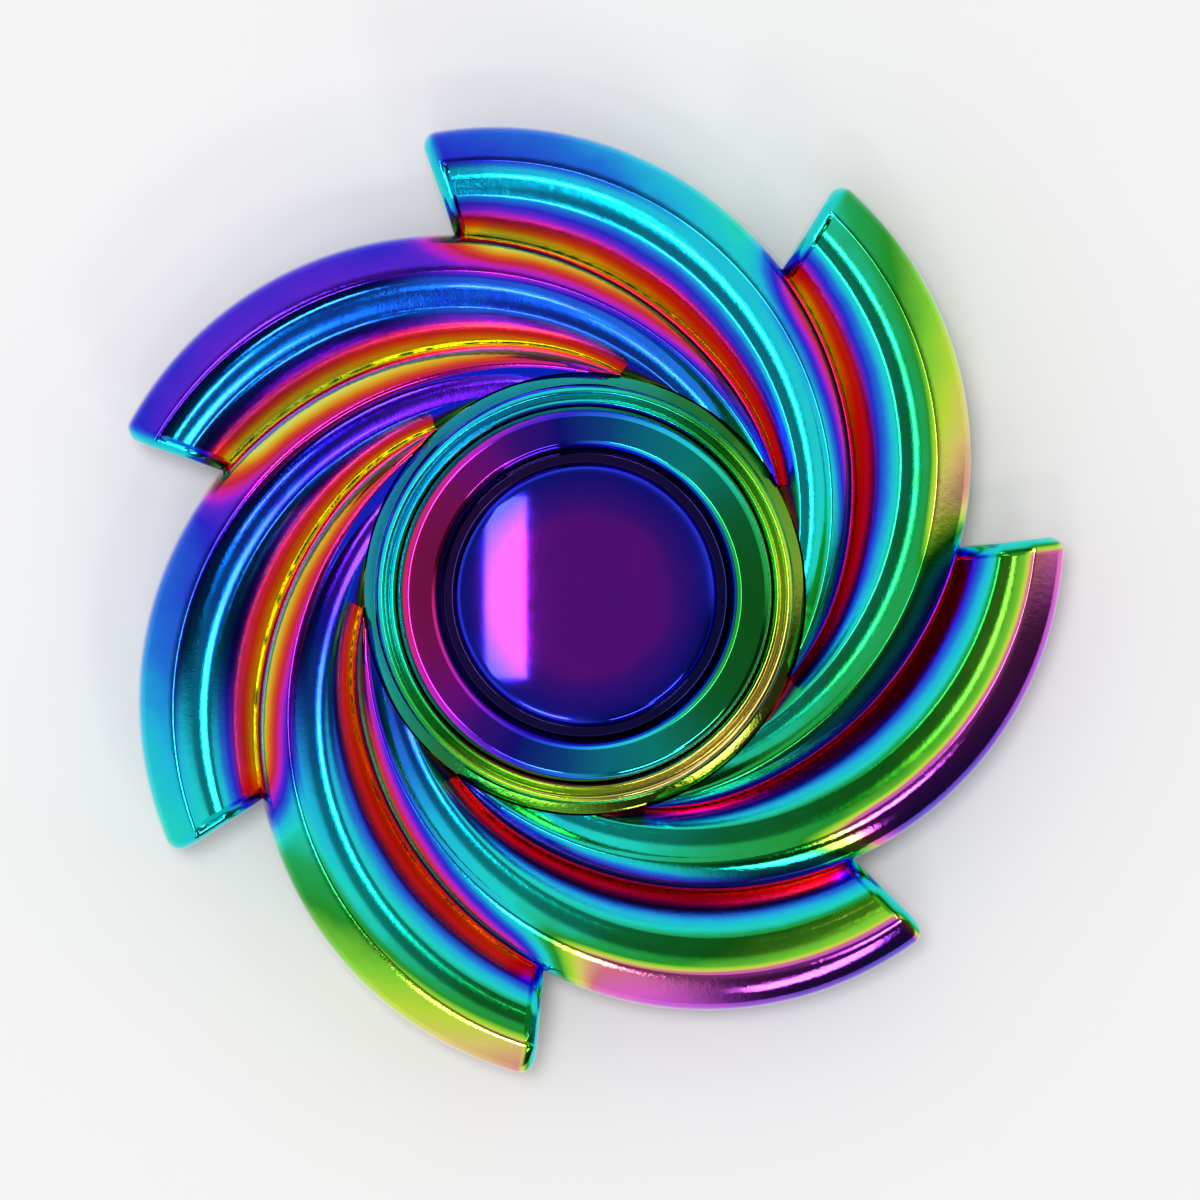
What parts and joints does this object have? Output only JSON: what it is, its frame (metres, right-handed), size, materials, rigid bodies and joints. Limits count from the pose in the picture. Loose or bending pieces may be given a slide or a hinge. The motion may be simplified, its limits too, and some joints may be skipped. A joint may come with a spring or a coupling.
{
  "type": "fidget spinner",
  "caption": "Swirled multi-blade metal fidget spinner with an iridescent mirror finish, turning on a shielded ball bearing between two finger caps.",
  "frame": {"origin": "centre of the bearing, on the spin axis and on the mid plane of the blades", "axes": "+Z along the spin axis, out of the top cap; the first blade's end face lies 6.9 degrees anticlockwise from +X"},
  "size_m": [0.0582, 0.0588, 0.0116],
  "materials": {
    "body_film": "polished zinc casting with a rainbow interference coating",
    "cap_film": "polished turned metal with a rainbow interference coating",
    "race_steel": "ground bearing steel",
    "ball_steel": "polished bearing steel",
    "cage_steel": "stamped steel ribbon",
    "shield_steel": "pressed sheet steel"
  },
  "bodies": {
    "finger_grip": {"top_cap": "cap_film", "bottom_cap": "cap_film", "bearing_inner_race": "race_steel"},
    "spinner": {"blade_body": "body_film", "bearing_outer_race": "race_steel", "upper_shield": "shield_steel", "lower_shield": "shield_steel", "upper_snap_wire": "shield_steel", "lower_snap_wire": "shield_steel"},
    "ball_cage": {"cage_upper_half": "cage_steel", "cage_lower_half": "cage_steel"},
    "ball_01": {"ball_01": "ball_steel"},
    "ball_02": {"ball_02": "ball_steel"},
    "ball_03": {"ball_03": "ball_steel"},
    "ball_04": {"ball_04": "ball_steel"},
    "ball_05": {"ball_05": "ball_steel"},
    "ball_06": {"ball_06": "ball_steel"},
    "ball_07": {"ball_07": "ball_steel"},
    "ball_08": {"ball_08": "ball_steel"},
    "ball_09": {"ball_09": "ball_steel"},
    "ball_10": {"ball_10": "ball_steel"}
  },
  "joints": [
    {"name": "spin", "type": "hinge", "parent": "finger_grip", "child": "spinner", "pos_m": [0, 0, 0], "axis": [0, 0, 1], "continuous": true},
    {"name": "cage_orbit", "type": "hinge", "parent": "finger_grip", "child": "ball_cage", "pos_m": [0, 0, 0], "axis": [0, 0, 1], "continuous": true},
    {"name": "ball_01_roll", "type": "hinge", "parent": "ball_cage", "child": "ball_01", "pos_m": [0.00476, 0, 0], "axis": [0, 0, 1], "continuous": true},
    {"name": "ball_02_roll", "type": "hinge", "parent": "ball_cage", "child": "ball_02", "pos_m": [0.00385, 0.0028, 0], "axis": [0, 0, 1], "continuous": true},
    {"name": "ball_03_roll", "type": "hinge", "parent": "ball_cage", "child": "ball_03", "pos_m": [0.00147, 0.00453, 0], "axis": [0, 0, 1], "continuous": true},
    {"name": "ball_04_roll", "type": "hinge", "parent": "ball_cage", "child": "ball_04", "pos_m": [-0.00147, 0.00453, 0], "axis": [0, 0, 1], "continuous": true},
    {"name": "ball_05_roll", "type": "hinge", "parent": "ball_cage", "child": "ball_05", "pos_m": [-0.00385, 0.0028, 0], "axis": [0, 0, 1], "continuous": true},
    {"name": "ball_06_roll", "type": "hinge", "parent": "ball_cage", "child": "ball_06", "pos_m": [-0.00476, 0, 0], "axis": [0, 0, 1], "continuous": true},
    {"name": "ball_07_roll", "type": "hinge", "parent": "ball_cage", "child": "ball_07", "pos_m": [-0.00385, -0.0028, 0], "axis": [0, 0, 1], "continuous": true},
    {"name": "ball_08_roll", "type": "hinge", "parent": "ball_cage", "child": "ball_08", "pos_m": [-0.00147, -0.00453, 0], "axis": [0, 0, 1], "continuous": true},
    {"name": "ball_09_roll", "type": "hinge", "parent": "ball_cage", "child": "ball_09", "pos_m": [0.00147, -0.00453, 0], "axis": [0, 0, 1], "continuous": true},
    {"name": "ball_10_roll", "type": "hinge", "parent": "ball_cage", "child": "ball_10", "pos_m": [0.00385, -0.0028, 0], "axis": [0, 0, 1], "continuous": true}
  ],
  "couplings": [
    {"joint": "cage_orbit", "follows": "spin", "ratio": 0.5834},
    {"joint": "ball_01_roll", "follows": "spin", "ratio": 2.9157},
    {"joint": "ball_02_roll", "follows": "spin", "ratio": 2.9157},
    {"joint": "ball_03_roll", "follows": "spin", "ratio": 2.9157},
    {"joint": "ball_04_roll", "follows": "spin", "ratio": 2.9157},
    {"joint": "ball_05_roll", "follows": "spin", "ratio": 2.9157},
    {"joint": "ball_06_roll", "follows": "spin", "ratio": 2.9157},
    {"joint": "ball_07_roll", "follows": "spin", "ratio": 2.9157},
    {"joint": "ball_08_roll", "follows": "spin", "ratio": 2.9157},
    {"joint": "ball_09_roll", "follows": "spin", "ratio": 2.9157},
    {"joint": "ball_10_roll", "follows": "spin", "ratio": 2.9157}
  ]
}
